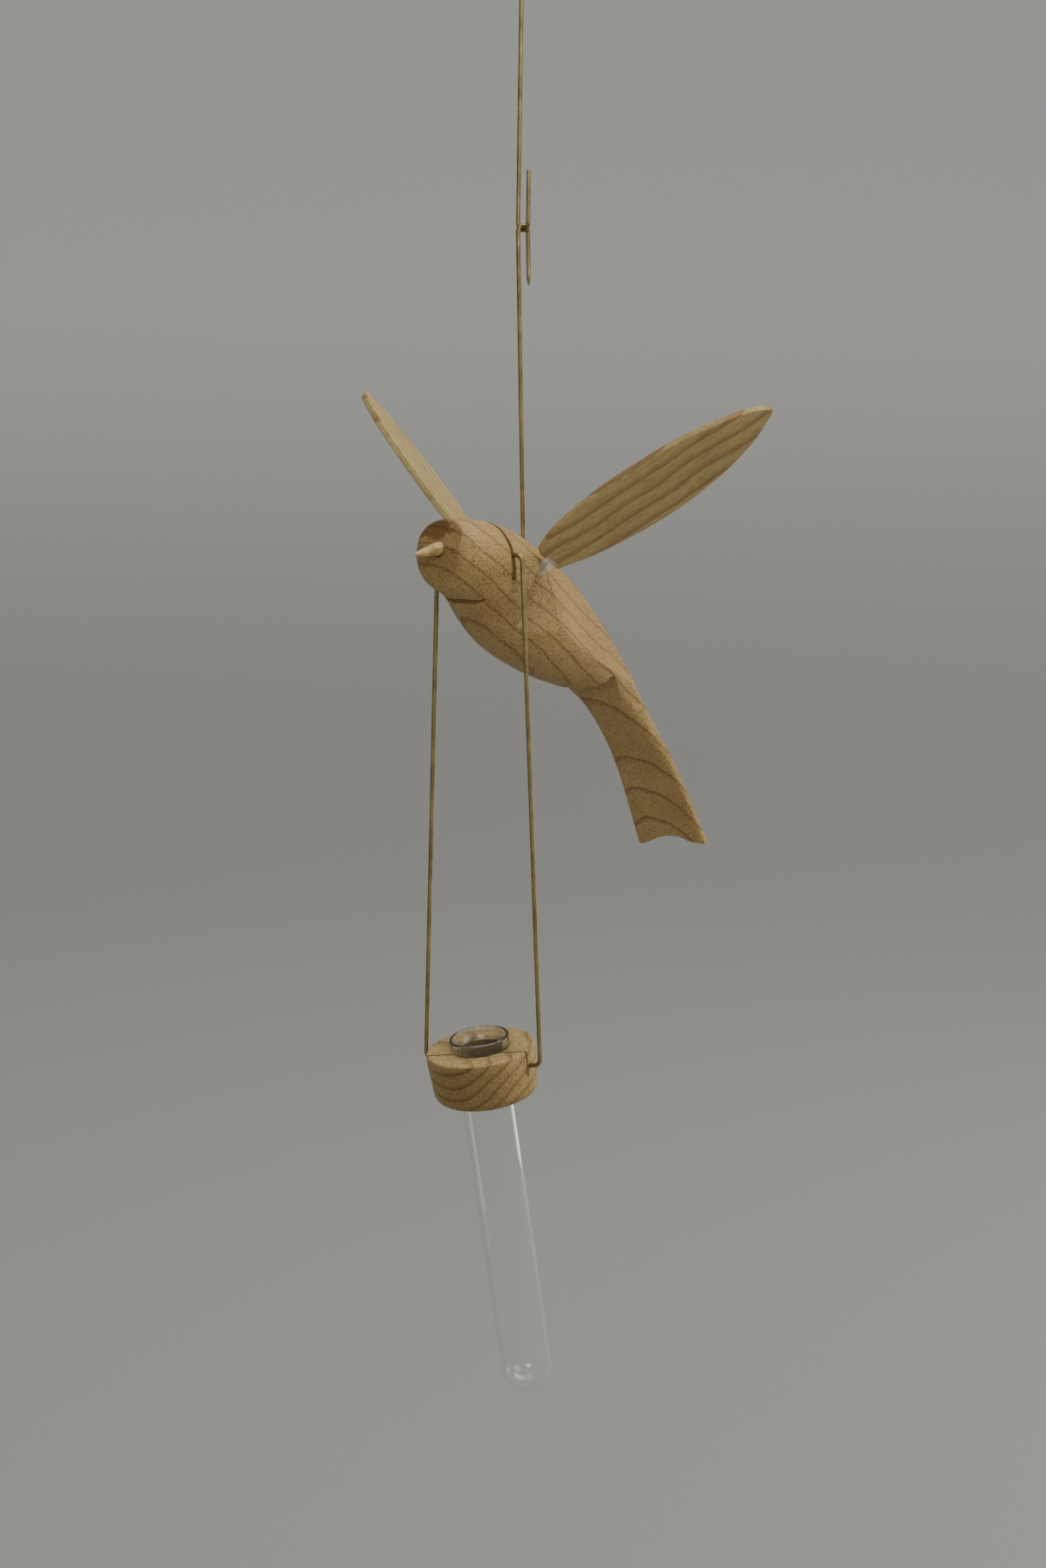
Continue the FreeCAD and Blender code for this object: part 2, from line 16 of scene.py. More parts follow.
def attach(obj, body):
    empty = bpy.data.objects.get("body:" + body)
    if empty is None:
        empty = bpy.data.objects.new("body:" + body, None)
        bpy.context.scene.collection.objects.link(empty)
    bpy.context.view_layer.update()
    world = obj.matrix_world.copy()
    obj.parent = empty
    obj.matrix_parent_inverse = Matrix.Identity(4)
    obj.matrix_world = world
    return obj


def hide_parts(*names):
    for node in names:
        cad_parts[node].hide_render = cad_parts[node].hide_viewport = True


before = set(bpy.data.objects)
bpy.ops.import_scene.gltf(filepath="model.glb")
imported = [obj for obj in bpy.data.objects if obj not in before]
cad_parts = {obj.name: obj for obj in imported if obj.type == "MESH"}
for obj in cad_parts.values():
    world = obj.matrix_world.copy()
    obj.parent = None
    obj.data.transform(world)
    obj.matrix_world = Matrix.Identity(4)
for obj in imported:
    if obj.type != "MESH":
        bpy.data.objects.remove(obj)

MM = 0.001
log = logging.getLogger("bird_vase")
T = TypeVar("T", float, Vector)
Pair = tuple[float, float]
Triple = tuple[float, float, float]


class Side(Enum):
    """The bird's own left and right, as the sign of X."""

    LEFT = 1
    RIGHT = -1


# Sizes and places shared by the pieces, in millimetres in the row frame, and turns in degrees
WIRE_RADIUS = 0.6
HALF_HOOK = 1.9
DROP_LENGTH, DROP_BURY, DROP_TURN = 81.8, 12.0, 83.0
HOOK_CENTRE = Vector((0, 0, -87.6))
BACK_ENTRY = Vector((0, 0, -169.4))
YOKE_BAR = Vector((0, -19.2, -173.5))
PIVOT = Vector((0, -18.4, -316.3))
PIVOT_TURN, PIVOT_ROLL, COLLAR_TIP = 9.0, 4.0, 8.6


# Hands and tools
def turned(*steps: tuple[str, float]) -> Matrix:
    """Combines turns about the axes.

    Args:
        steps: Axis letter and degrees of each turn, the outermost first.

    Returns:
        The combined turn as a 4 by 4 matrix.
    """
    whole = Matrix.Identity(4)
    for axis, degrees in steps:
        whole = whole @ Matrix.Rotation(math.radians(degrees), 4, axis)
    return whole


def placed(spot: Vector, turn: Matrix) -> Matrix:
    """Gives the matrix in metres of a spot in millimetres and a turn."""
    return Matrix.Translation(spot * MM) @ turn


def drop_place() -> Matrix:
    """The lower wire's own frame at the hook, leaned so that its shank hangs plumb."""
    plumb = math.degrees(math.atan2(-HALF_HOOK, DROP_LENGTH))
    return placed(HOOK_CENTRE, turned(("Z", DROP_TURN), ("Y", plumb)))


def deselect() -> None:
    """Leaves edit mode and deselects everything."""
    if bpy.context.object and bpy.context.object.mode != "OBJECT":
        bpy.ops.object.mode_set(mode="OBJECT")
    bpy.ops.object.select_all(action="DESELECT")


def take(piece: Object) -> None:
    """Makes a piece the only selected and active one."""
    deselect()
    piece.select_set(True)
    bpy.context.view_layer.objects.active = piece


def edit(piece: Object, mode: str = "VERT", action: str = "SELECT") -> BMesh:
    """Enters edit mode on a piece.

    Args:
        piece: The mesh to edit.
        mode: The kind of element that is picked.
        action: SELECT to pick all of them, DESELECT to pick none.

    Returns:
        The mesh being edited.
    """
    take(piece)
    bpy.ops.object.mode_set(mode="EDIT")
    bpy.ops.mesh.select_mode(type=mode)
    bpy.ops.mesh.select_all(action=action)
    return bmesh.from_edit_mesh(piece.data)


def pick_edges(piece: Object, wanted: Callable[[BMEdge], bool]) -> None:
    """Enters edit mode on a piece and picks only the edges that a test asks for."""
    for edge in edit(piece, "EDGE", "DESELECT").edges:
        edge.select = wanted(edge)
    bmesh.update_edit_mesh(piece.data)


def named(name: str) -> Object:
    """Names the piece that was just added."""
    piece = bpy.context.object
    piece.name = piece.data.name = name
    return piece


def modify(piece: Object, kind: str, **settings: object) -> None:
    """Adds a modifier with its settings and applies it."""
    take(piece)
    modifier = piece.modifiers.new(kind.title(), kind)
    for key, value in settings.items():
        setattr(modifier, key, value)
    bpy.ops.object.modifier_apply(modifier=modifier.name)


def cut(piece: Object, *tools: Object) -> None:
    """Takes each tool's shape out of a piece and throws the tool away."""
    for tool in tools:
        modify(piece, "BOOLEAN", operation="DIFFERENCE", solver="EXACT", object=tool)
        bpy.data.objects.remove(tool, do_unlink=True)


def tidy(piece: Object, crease: float = 35.0) -> None:
    """Merges doubles, turns the faces outwards and smooths up to a crease angle in degrees."""
    edit(piece)
    bpy.ops.mesh.remove_doubles(threshold=0.002 * MM)
    bpy.ops.mesh.normals_make_consistent(inside=False)
    take(piece)
    bpy.ops.object.shade_smooth_by_angle(angle=math.radians(crease))


def rod(name: str, radius: float, length: float, place: Matrix, sides: int = 48) -> Object:
    """Adds a round cutter.

    Args:
        name: Its name.
        radius: Its radius in millimetres.
        length: Its length in millimetres, along the place's own Z axis from its origin.
        place: Where it starts, in metres.
        sides: How many sides it has.

    Returns:
        The cutter.
    """
    deselect()
    bpy.ops.mesh.primitive_cylinder_add(vertices=sides, radius=radius * MM, depth=length * MM)
    piece = named(name)
    piece.data.transform(place @ Matrix.Translation((0, 0, length * MM / 2)))
    return piece


def block(name: str, lengths: Triple, place: Matrix) -> Object:
    """Adds a box cutter of three lengths in millimetres, centred on a place in metres."""
    deselect()
    bpy.ops.mesh.primitive_cube_add(size=1)
    piece = named(name)
    piece.data.transform(place @ Matrix.Diagonal((*(length * MM for length in lengths), 1)))
    return piece


def slab(name: str, outline: list[Pair], thickness: float, place: Matrix) -> Object:
    """Adds a flat piece of any outline.

    Args:
        name: Its name.
        outline: Corners in millimetres on the place's own XY plane.
        thickness: Its thickness in millimetres, half on each side of that plane.
        place: Where it lies, in metres.

    Returns:
        The piece.
    """
    deselect()
    bpy.ops.mesh.primitive_circle_add(vertices=len(outline), radius=1, fill_type="NGON")
    piece = named(name)
    for corner, (x, y) in zip(piece.data.vertices, outline):
        corner.co = (x * MM, y * MM, -thickness * MM / 2)
    edit(piece, "FACE")
    bpy.ops.mesh.extrude_region_move(TRANSFORM_OT_translate={"value": (0, 0, thickness * MM)})
    bpy.ops.mesh.select_all(action="SELECT")
    bpy.ops.mesh.normals_make_consistent(inside=False)
    deselect()
    piece.data.transform(place)
    return piece


def turn_profile(name: str, profile: list[Pair], steps: int = 96, closed: bool = False) -> Object:
    """Turns a profile about Z, as on a lathe.

    Args:
        name: The piece's name.
        profile: Radius and height of each point in millimetres.
        steps: How many steps a full turn has.
        closed: Whether the profile's last point is joined to its first.

    Returns:
        The turned piece about the origin.
    """
    deselect()
    bpy.ops.mesh.primitive_circle_add(vertices=len(profile), radius=1)
    piece = named(name)
    for point, (radius, height) in zip(piece.data.vertices, profile):
        point.co = (radius * MM, 0, height * MM)
    if not closed:
        pick_edges(piece, lambda edge: {end.index for end in edge.verts} == {0, len(profile) - 1})
        bpy.ops.mesh.delete(type="EDGE")
    edit(piece, "EDGE")
    bpy.ops.mesh.spin(steps=steps, angle=2 * math.pi, center=(0, 0, 0), axis=(0, 0, 1))
    deselect()
    return piece


def arc(centre: Pair, radius: float, first: float, last: float, steps: int) -> list[Pair]:
    """Points on an arc of a profile, from the first angle to the last in degrees."""
    angles = [math.radians(first + (last - first) * step / steps) for step in range(steps + 1)]
    return [(centre[0] + radius * math.cos(angle), centre[1] + radius * math.sin(angle)) for angle in angles]


def cubic(low: T, high: T, rise_in: T, rise_out: T, share: float) -> T:
    """Goes smoothly between two values or places.

    Args:
        low: The first of them.
        high: The second.
        rise_in: The slope at the first, over the whole way.
        rise_out: The slope at the second.
        share: How far along the way.

    Returns:
        What lies there.
    """
    square, cube = share ** 2, share ** 3
    return (low * (2 * cube - 3 * square + 1) + rise_in * (cube - 2 * square + share)
            + high * (3 * square - 2 * cube) + rise_out * (cube - square))


def dress(piece: Object, finish: Material, body: str, node: str) -> None:
    """Gives a finished piece its material and its body, and hides the CAD node that it stands for."""
    piece.data.materials.clear()
    piece.data.materials.append(finish)
    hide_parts(node)
    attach(piece, body)
    log.info("%s: %d faces on %s", piece.name, len(piece.data.polygons), body)


# Finishes
def colour(code: str) -> tuple[float, float, float, float]:
    """Turns an sRGB hex code into linear red, green, blue and alpha."""
    parts = [int(code[start:start + 2], 16) / 255 for start in (1, 3, 5)]
    return (*(part / 12.92 if part <= 0.04045 else ((part + 0.055) / 1.055) ** 2.4 for part in parts), 1.0)


def feed(tree: NodeTree, node: Node, inputs: dict) -> None:
    """Links a socket, or sets a value or a hex colour, for each of a node's inputs by name or number."""
    for key, value in inputs.items():
        if isinstance(value, Socket):
            tree.links.new(value, node.inputs[key])
        else:
            node.inputs[key].default_value = colour(value) if isinstance(value, str) else value


class Look:
    """A node material in the making, and the kinds of node that the finishes share."""

    def __init__(self, name: str) -> None:
        """Starts the material with the object's own coordinates."""
        self.material = bpy.data.materials.new(name)
        self.material.use_nodes = True
        self.tree = self.material.node_tree
        source = self.add("ShaderNodeTexCoord").outputs
        self.places, self.sides = source["Object"], source["Normal"]

    def add(self, kind: str, inputs: dict | None = None, **settings: object) -> Node:
        """Adds a node.

        Args:
            kind: The node's type name.
            inputs: A value, a hex colour or a socket to link, for each input by name or number.
            settings: Properties of the node itself.

        Returns:
            The node.
        """
        node = self.tree.nodes.new(kind)
        for key, value in settings.items():
            setattr(node, key, value)
        feed(self.tree, node, inputs or {})
        return node

    def noise(self, size_mm: float, detail: float = 2.0, roughness: float = 0.5,
              at: Socket | None = None) -> Socket:
        """Soft noise of a size, at the object's own coordinates unless others are given."""
        return self.add("ShaderNodeTexNoise", {
            "Vector": self.places if at is None else at, "Scale": 1 / (size_mm * MM), "Detail": detail,
            "Roughness": roughness}).outputs["Fac"]

    def spread(self, value: Socket, start: float, end: float, low: float = 0.0, high: float = 1.0,
               course: str = "LINEAR") -> Socket:
        """Turns values from start to end into values from low to high, and holds those beyond."""
        return self.add("ShaderNodeMapRange", {
            "Value": value, "From Min": start, "From Max": end, "To Min": low, "To Max": high},
            interpolation_type=course).outputs[0]

    def blend(self, share: Socket, first: Socket | str, second: Socket | str, way: str = "MIX") -> Socket:
        """Mixes a share of a second colour into a first, or multiplies it in."""
        return self.add("ShaderNodeMix", {
            "Factor": share, 6: first, 7: second}, data_type="RGBA", blend_type=way).outputs[2]

    def bump(self, height: Socket, strength: float, depth_mm: float, under: Socket | None = None) -> Socket:
        """Gives the surface a relief, on top of another if one is given."""
        inputs = {"Height": height, "Strength": strength, "Distance": depth_mm * MM}
        if under is not None:
            inputs["Normal"] = under
        return self.add("ShaderNodeBump", inputs).outputs[0]

    def finish(self, inputs: dict) -> Material:
        """Feeds the main shader and gives the finished material."""
        feed(self.tree, self.tree.nodes["Principled BSDF"], inputs)
        return self.material


@dataclass(frozen=True)
class CutWood:
    """Real wood with growth rings, pores and tool marks, oiled so that it shines softly.

    The pith runs along the X axis of its place. Rings cut by the surface show as arcs on end grain and as
    long stripes along the grain. End grain has soaked up more oil and is darker; on the collar the grain is
    turned so that this darker side is the one away from the light, so there it is partly painted shade.

    Attributes:
        name: The wood and how its surface was made.
        early: Colour of the wood of spring, as hex.
        late: Colour of the rings and pores, as hex.
        shade: Colour of the darker patches, as hex.
        pith: Place of the tree's middle, in metres.
        ring_mm: Width of a year's ring.
        ring_share: Part of that width which is late wood.
        wobble: How far the rings wander.
        pore_mm: Width of a pore.
        pore_run: Length of a pore as a multiple of its width.
        pore_share: How dark the pores are, from 0 to 1.
        end_grain_and_shade: How much darker the end grain is, from 0 to 1; on the collar it is partly painted
            shade.
        roughness: Mean roughness of the surface.
        mark_mm: Size of the tool marks.
        patch_mm: Size of the darker patches.
        brow_shade_spot: Middle of a darkened spot in millimetres, if there is one; on the bird it is partly
            browned end grain and partly painted shade on the brow over the beak.
    """

    name: str
    early: str
    late: str
    shade: str
    pith: Matrix
    ring_mm: float
    ring_share: float
    wobble: float
    pore_mm: float
    pore_run: float
    pore_share: float
    end_grain_and_shade: float
    roughness: float
    mark_mm: float
    patch_mm: float = 18.0
    brow_shade_spot: Vector | None = None

    def shade_brow(self, look: Look, tone: Socket) -> Socket:
        """Darkens the wood's colour round one spot: partly end grain browned by a hot or blunt blade, partly
        painted shade on a facet turned from the light.
        """
        outer, inner, strength, brown = 6.9 * MM, 5.9 * MM, 0.9, "#b8a294"
        fray_mm, fray = 2.5, 5 * MM
        broad = Vector((0.6, 1.0, 1.0))
        squeezed = look.add("ShaderNodeVectorMath", {
            0: look.places, 1: broad}, operation="MULTIPLY").outputs["Vector"]
        distance = look.add("ShaderNodeVectorMath", {
            0: squeezed, 1: self.brow_shade_spot * broad * MM}, operation="DISTANCE").outputs["Value"]
        ragged = look.add("ShaderNodeMath", {
            0: look.noise(fray_mm), 1: fray, 2: distance}, operation="MULTIPLY_ADD").outputs[0]
        return look.blend(look.spread(ragged, outer, inner, high=strength), tone, brown, "MULTIPLY")

    def build(self) -> Material:
        """Makes the material."""
        look = Look(self.name)
        along = look.add("ShaderNodeMapping", {
            "Vector": look.places, "Location": self.pith.translation, "Rotation": self.pith.to_euler()},
            vector_type="TEXTURE").outputs[0]
        # At a scale of 1 the wave texture has a period of 2 pi / 20
        ring_scale = 2 * math.pi / (20 * self.ring_mm * MM)
        rings = look.add("ShaderNodeTexWave", {
            "Vector": along, "Scale": ring_scale, "Distortion": self.wobble, "Detail": 3.0,
            "Detail Scale": 0.35, "Detail Roughness": 0.55},
            wave_type="RINGS", rings_direction="X", wave_profile="SAW").outputs["Fac"]
        late = look.spread(rings, 1 - self.ring_share, 1.0, course="SMOOTHSTEP")
        stretched = look.add("ShaderNodeMapping", {
            "Vector": along, "Scale": (1 / self.pore_run, 1, 1)}).outputs[0]
        pores = look.noise(self.pore_mm, 3.0, 0.6, stretched)
        patches = look.spread(look.noise(self.patch_mm, 3.0, at=along), 0.32, 0.68)
        tone = look.blend(late, look.blend(patches, self.early, self.shade), self.late)

        grain_way = self.pith.to_3x3() @ Vector((1, 0, 0))
        facing = look.add("ShaderNodeVectorMath", {
            0: look.sides, 1: grain_way}, operation="DOT_PRODUCT").outputs["Value"]
        across = look.add("ShaderNodeMath", {0: facing}, operation="ABSOLUTE").outputs[0]
        flecks = look.spread(pores, 0.50, 0.62, high=self.pore_share)
        # End grain drinks more oil and is darker; on the collar this side is turned away from the light, so
        # there it is partly painted shade
        end_grain_and_shade_share = look.spread(across, 0.55, 1.0, high=self.end_grain_and_shade)
        for share in (flecks, end_grain_and_shade_share):
            tone = look.blend(share, tone, self.late, "MULTIPLY")
        # The dark spot over the beak: partly browned end grain, partly painted shade
        if self.brow_shade_spot is not None:
            tone = self.shade_brow(look, tone)

        shine = look.spread(pores, 0.0, 1.0, self.roughness - 0.08, self.roughness + 0.10)
        marks = look.add("ShaderNodeTexVoronoi", {
            "Vector": look.places, "Scale": 1 / (self.mark_mm * MM), "Smoothness": 0.45},
            feature="SMOOTH_F1").outputs[0]
        waves = look.bump(marks, 0.35, 0.20)
        grain = look.bump(pores, 0.5, 0.12, waves)
        steps = look.bump(late, 0.25, 0.06, grain)
        return look.finish({
            "Base Color": tone, "Roughness": shine, "Normal": steps, "Specular IOR Level": 0.24})


@dataclass(frozen=True)
class DrawnBrass:
    """Brass wire, drawn through a die and left to tarnish: yellow brown, with duller and darker stretches."""

    name: str = "Tarnished drawn brass wire"
    bright: str = "#b1a06c"
    dull: str = "#877649"
    patch_mm: float = 6.0
    scratch_mm: float = 0.35

    def build(self) -> Material:
        """Makes the material."""
        look = Look(self.name)
        patches = look.noise(self.patch_mm, 5.0, 0.6)
        tone = look.blend(look.spread(patches, 0.35, 0.66), self.bright, self.dull)
        shine = look.spread(patches, 0.0, 1.0, 0.24, 0.52)
        scratches = look.bump(look.noise(self.scratch_mm), 0.2, 0.03)
        return look.finish({"Base Color": tone, "Roughness": shine, "Normal": scratches, "Metallic": 1.0})


@dataclass(frozen=True)
class BlownGlass:
    """Borosilicate tube, drawn and fire polished: clear, smooth, with the faintest unevenness of the wall.

    A trace of its light isn't let through, so that the rim and the round end show against the wall behind.
    """

    name: str = "Blown borosilicate glass"
    tint: str = "#fdfefe"
    ripple_mm: float = 9.0

    def build(self) -> Material:
        """Makes the material."""
        look = Look(self.name)
        ripple = look.bump(look.noise(self.ripple_mm, 1.0), 0.06, 0.10)
        return look.finish({"Base Color": self.tint, "Roughness": 0.0, "Normal": ripple, "IOR": 1.474,
                            "Transmission Weight": 0.985})


@dataclass(frozen=True)
class ClearSheet:
    """Clear flexible PVC sheet, cut with a blade: thin, so a faint film with a shine and scuffs."""

    name: str = "Clear flexible PVC sheet"
    tint: str = "#fafbfa"
    scuff_mm: float = 0.8
    film: float = 0.18

    def build(self) -> Material:
        """Makes the material."""
        look = Look(self.name)
        haze = look.spread(look.noise(self.scuff_mm, 3.0), 0.0, 1.0, 0.06, 0.16)
        return look.finish({"Base Color": self.tint, "Roughness": haze, "IOR": 1.53, "Alpha": self.film})


# Bent brass wires
@dataclass
class BentWires:
    """The hanger with its eye, the suspension hook and the yoke, all of one wire."""

    eye: float = 5.0
    eye_sweep: float = 325.0
    neck: float = 2.5
    free_leg: float = 16.0
    crown: float = 1.25
    point: float = 1.6
    hanger_turn: float = -7.0
    yoke_half_top: float = 14.7
    yoke_half_foot: float = 18.4
    yoke_end: float = 11.6
    yoke_bend: float = 2.0

    def bend(self, name: str, corners: list[tuple[Vector, float]], pointed: float = 0.0) -> Object:
        """Bends one wire.

        Args:
            name: The wire's name.
            corners: Each corner of its route in millimetres, with the bend radius there. Ends have none.
            pointed: Length of a ground point at the far end in millimetres.

        Returns:
            The wire as a mesh.
        """
        spots = [spot for spot, _ in corners]
        knots = [(spots[0], (spots[1] - spots[0]).normalized(), 0.0, 1.0)]
        for index in range(1, len(corners) - 1):
            arriving = (spots[index] - spots[index - 1]).normalized()
            leaving = (spots[index + 1] - spots[index]).normalized()
            radius, turn = corners[index][1], arriving.angle(leaving)
            reach, pull = radius * math.tan(turn / 2), radius * math.tan(turn / 4) * 4 / 3
            knots.append((spots[index] - arriving * reach, arriving, pull, 1.0))
            knots.append((spots[index] + leaving * reach, leaving, -pull, 1.0))
        heading = (spots[-1] - spots[-2]).normalized()
        if pointed:
            knots.append((spots[-1] - heading * pointed, heading, 0.0, 1.0))
        knots.append((spots[-1], heading, 0.0, 0.3 if pointed else 1.0))
        deselect()
        bpy.ops.curve.primitive_bezier_curve_add()
        wire = named(name)
        route = wire.data
        route.bevel_depth, route.bevel_resolution, route.resolution_u = WIRE_RADIUS * MM, 5, 10
        route.use_fill_caps = True
        points = route.splines[0].bezier_points
        points.add(len(knots) - len(points))
        # A straight handle reaches a third of the way to its neighbour, and a millimetre past the wire's ends
        thirds = [1.0] + [(ahead[0] - here[0]).length / 3 for here, ahead in zip(knots, knots[1:])] + [1.0]
        for index, (point, (spot, way, pull, girth)) in enumerate(zip(points, knots)):
            point.handle_left_type = point.handle_right_type = "FREE"
            before = -pull if pull < 0 else thirds[index]
            after = pull if pull > 0 else thirds[index + 1]
            point.co, point.radius = spot * MM, girth
            point.handle_left, point.handle_right = (spot - way * before) * MM, (spot + way * after) * MM
        take(wire)
        bpy.ops.object.convert(target="MESH")
        tidy(wire, 40)
        return wire

    def hanger(self) -> Object:
        """Bends the upper wire: hanging eye, shank and open hook."""
        fall = math.sqrt(2 * self.neck * self.eye + self.eye ** 2)
        touch = math.atan2(-fall, self.neck)
        arcs = 5
        step = math.radians(self.eye_sweep) / arcs
        outside = self.eye / math.cos(step / 2)
        start = touch + step * arcs
        corners = [(Vector((self.eye * math.cos(start), 0, self.eye * math.sin(start))), 0.0)]
        for index in range(arcs):
            angle = start - step * (index + 0.5)
            corners.append((Vector((outside * math.cos(angle), 0, outside * math.sin(angle))), self.eye))
        floor = HOOK_CENTRE.z
        bow = -fall + self.neck * math.tan((math.pi + touch) / -2 + math.pi / 2)
        corners += [(Vector((0, 0, bow)), self.neck), (Vector((0, 0, floor)), HALF_HOOK),
                    (Vector((2 * HALF_HOOK, 0, floor)), HALF_HOOK),
                    (Vector((2 * HALF_HOOK, 0, floor + self.free_leg)), 0.0)]
        wire = self.bend("hanging_hook", corners)
        plumb = math.degrees(math.atan2(HALF_HOOK, -floor))
        wire.data.transform(turned(("Z", self.hanger_turn), ("Y", plumb)))
        return wire

    def suspension(self) -> Object:
        """Bends the lower wire: an open hook with a ground point, and a shank that goes into the back."""
        half = HALF_HOOK
        corners = [(Vector((-half, 0, -DROP_LENGTH - DROP_BURY)), 0.0),
                   (Vector((-half, 0, self.crown)), half), (Vector((half, 0, self.crown)), half),
                   (Vector((half, 0, self.crown - self.free_leg)), 0.0)]
        wire = self.bend("suspension_hook", corners, self.point)
        wire.data.transform(drop_place())
        return wire

    def yoke(self) -> Object:
        """Bends the wire over the neck, down both sides and in at the collar."""
        line = turned(("Z", PIVOT_TURN), ("Y", -PIVOT_ROLL)).to_3x3() @ Vector((1, 0, 0))
        across = Vector((self.yoke_half_top, 0, 0))
        corners = [(PIVOT - line * self.yoke_end, 0.0), (PIVOT - line * self.yoke_half_foot, self.yoke_bend),
                   (YOKE_BAR - across, self.yoke_bend), (YOKE_BAR + across, self.yoke_bend),
                   (PIVOT + line * self.yoke_half_foot, self.yoke_bend), (PIVOT + line * self.yoke_end, 0.0)]
        return self.bend("yoke", corners)

    def build(self, brass: Material) -> None:
        """Bends and dresses all three wires."""
        dress(self.hanger(), brass, "hanger", "hanger_wire")
        dress(self.suspension(), brass, "bird", "suspension_wire")
        dress(self.yoke(), brass, "yoke", "yoke_wire")


# Carved bird
@dataclass(frozen=True)
class Section:
    """A cross section of the bird, square to its back. Sizes are in millimetres, the slope in degrees."""

    reach: float
    height: float
    slope: float
    half_depth: float
    half_width: float
    square: float

    def spot(self, angle: float) -> Vector:
        """The point of the section's rounded outline at an angle, in the row frame."""
        across, upright = math.cos(angle), math.sin(angle)
        x = self.half_width * math.copysign(abs(across) ** (2 / self.square), across)
        up = self.half_depth * math.copysign(abs(upright) ** (2 / self.square), upright)
        lean = math.radians(self.slope)
        return Vector((x, self.reach + up * math.sin(lean), self.height + up * math.cos(lean)))


@dataclass(frozen=True)
class Plane:
    """A flat left by the knife: a point on it in millimetres, its outward normal and its stretch."""

    spot: Triple
    normal: Triple
    reach: float
    front: float = -99.0
    back: float = 99.0


@dataclass
class CarvedBird:
    """Head, body and tail from one piece of wood, with the whittled beak."""

    sections: tuple[Section, ...] = (
        Section(-36.8, -173.1, 0, 7.1, 7.0, 2.1),
        Section(-34.4, -173.4, 0, 9.6, 10.0, 2.1),
        Section(-27.7, -174.6, 5, 10.8, 11.6, 2.2),
        Section(-19.9, -177.8, 18, 12.8, 12.1, 2.2),
        Section(-12.7, -182.3, 30, 14.5, 12.9, 2.2),
        Section(-3.3, -188.9, 36, 15.3, 14.0, 2.2),
        Section(7.4, -195.4, 38, 14.8, 14.0, 2.2),
        Section(17.7, -202.0, 38, 12.4, 13.0, 2.4),
        Section(28.0, -209.0, 42, 8.8, 11.1, 2.7),
        Section(37.8, -216.6, 48, 5.4, 9.5, 3.0),
        Section(47.2, -227.2, 52, 3.2, 9.2, 3.6),
        Section(58.9, -242.5, 55, 2.0, 10.5, 4.0),
        Section(74.2, -269.2, 57, 1.6, 12.8, 4.0),
    )
    around: int = 48
    row_mm: float = 3.0
    flats: tuple[Plane, ...] = (
        Plane((12.9, -0.5, -192.0), (0.90, 0.27, 0.32), 46, front=-0.5),
        Plane((12.9, -0.5, -192.0), (0.92, -0.24, 0.31), 15, back=-0.5),
        Plane((0.0, -35.5, -168.4), (0.0, -0.88, 0.47), 12),
        Plane((10.3, -32.9, -171.6), (0.78, -0.60, 0.16), 7),
        Plane((0.0, 36.5, -221.6), (0.03, -0.77, -0.64), 17),
    )
    chip_count: int = 150
    chip_reach: float = 4.2
    kerf_width: float = 1.36
    kerf_low: float = -11.0
    kerf_seat: float = -4.72
    tail_notch: float = 30.0
    tail_notch_depth: float = 4.4
    tail_skew: float = 8.0
    scoop_radius: float = 17.0
    scoop_start: Triple = (0.6, 24.2, -31.0)
    scoop_dip: float = 14.0
    chin_height: float = -185.4
    beak_radius: float = 1.85
    beak_root: float = 6.0
    beak_flats: int = 14

    def rows(self) -> list[Section]:
        """Fills in sections along a smooth line so that rows lie a few millimetres apart."""
        filled: list[Section] = []
        last = len(self.sections) - 1
        for index in range(last):
            here, ahead = self.sections[index], self.sections[index + 1]
            before, beyond = self.sections[max(index - 1, 0)], self.sections[min(index + 2, last)]
            gap = math.hypot(ahead.reach - here.reach, ahead.height - here.height)
            gap_before = math.hypot(here.reach - before.reach, here.height - before.height) or gap
            gap_beyond = math.hypot(beyond.reach - ahead.reach, beyond.height - ahead.height) or gap
            count = max(1, round(gap / self.row_mm))
            for step in range(count):
                share = step / count
                values = {}
                for key in vars(here):
                    low, high = getattr(here, key), getattr(ahead, key)
                    rise_in = (high - getattr(before, key)) / (gap + gap_before) * gap
                    rise_out = (getattr(beyond, key) - low) / (gap + gap_beyond) * gap
                    rise_in = rise_in if index else high - low
                    rise_out = rise_out if index + 1 < last else high - low
                    values[key] = cubic(low, high, rise_in, rise_out, share)
                filled.append(Section(**values))
        return filled + [self.sections[-1]]

    def loft(self) -> Object:
        """Extrudes one ring from section to section and closes both ends."""
        rows = self.rows()
        deselect()
        bpy.ops.mesh.primitive_circle_add(vertices=self.around, radius=1)
        body = named("carved_bird")
        angles = [math.atan2(point.co.y, point.co.x) for point in body.data.vertices]
        for point, angle in zip(body.data.vertices, angles):
            point.co = rows[0].spot(angle) * MM
        edit(body, "EDGE")
        places = {tuple(rows[0].spot(angle) * MM): angle for angle in angles}
        for section in rows[1:]:
            bpy.ops.mesh.extrude_region_move()
            mesh = bmesh.from_edit_mesh(body.data)
            moved = {}
            for point in (point for point in mesh.verts if point.select):
                key = min(places, key=lambda place: (Vector(place) - point.co).length_squared)
                point.co = section.spot(places[key]) * MM
                moved[tuple(point.co)] = places[key]
            places = moved
            bmesh.update_edit_mesh(body.data)
        for end in (rows[0], rows[-1]):
            middle = Vector((0, end.reach, end.height)) * MM
            lean = math.radians(end.slope)
            square_on = Vector((0, math.cos(lean), -math.sin(lean)))
            pick_edges(body, lambda edge: len(edge.link_faces) == 1 and all(
                abs((point.co - middle).dot(square_on)) < 0.05 * MM for point in edge.verts))
            bpy.ops.mesh.edge_face_add()
            bpy.ops.mesh.inset(thickness=0.4 * MM)
        tidy(body)
        modify(body, "SUBSURF", levels=2, render_levels=2)
        return body

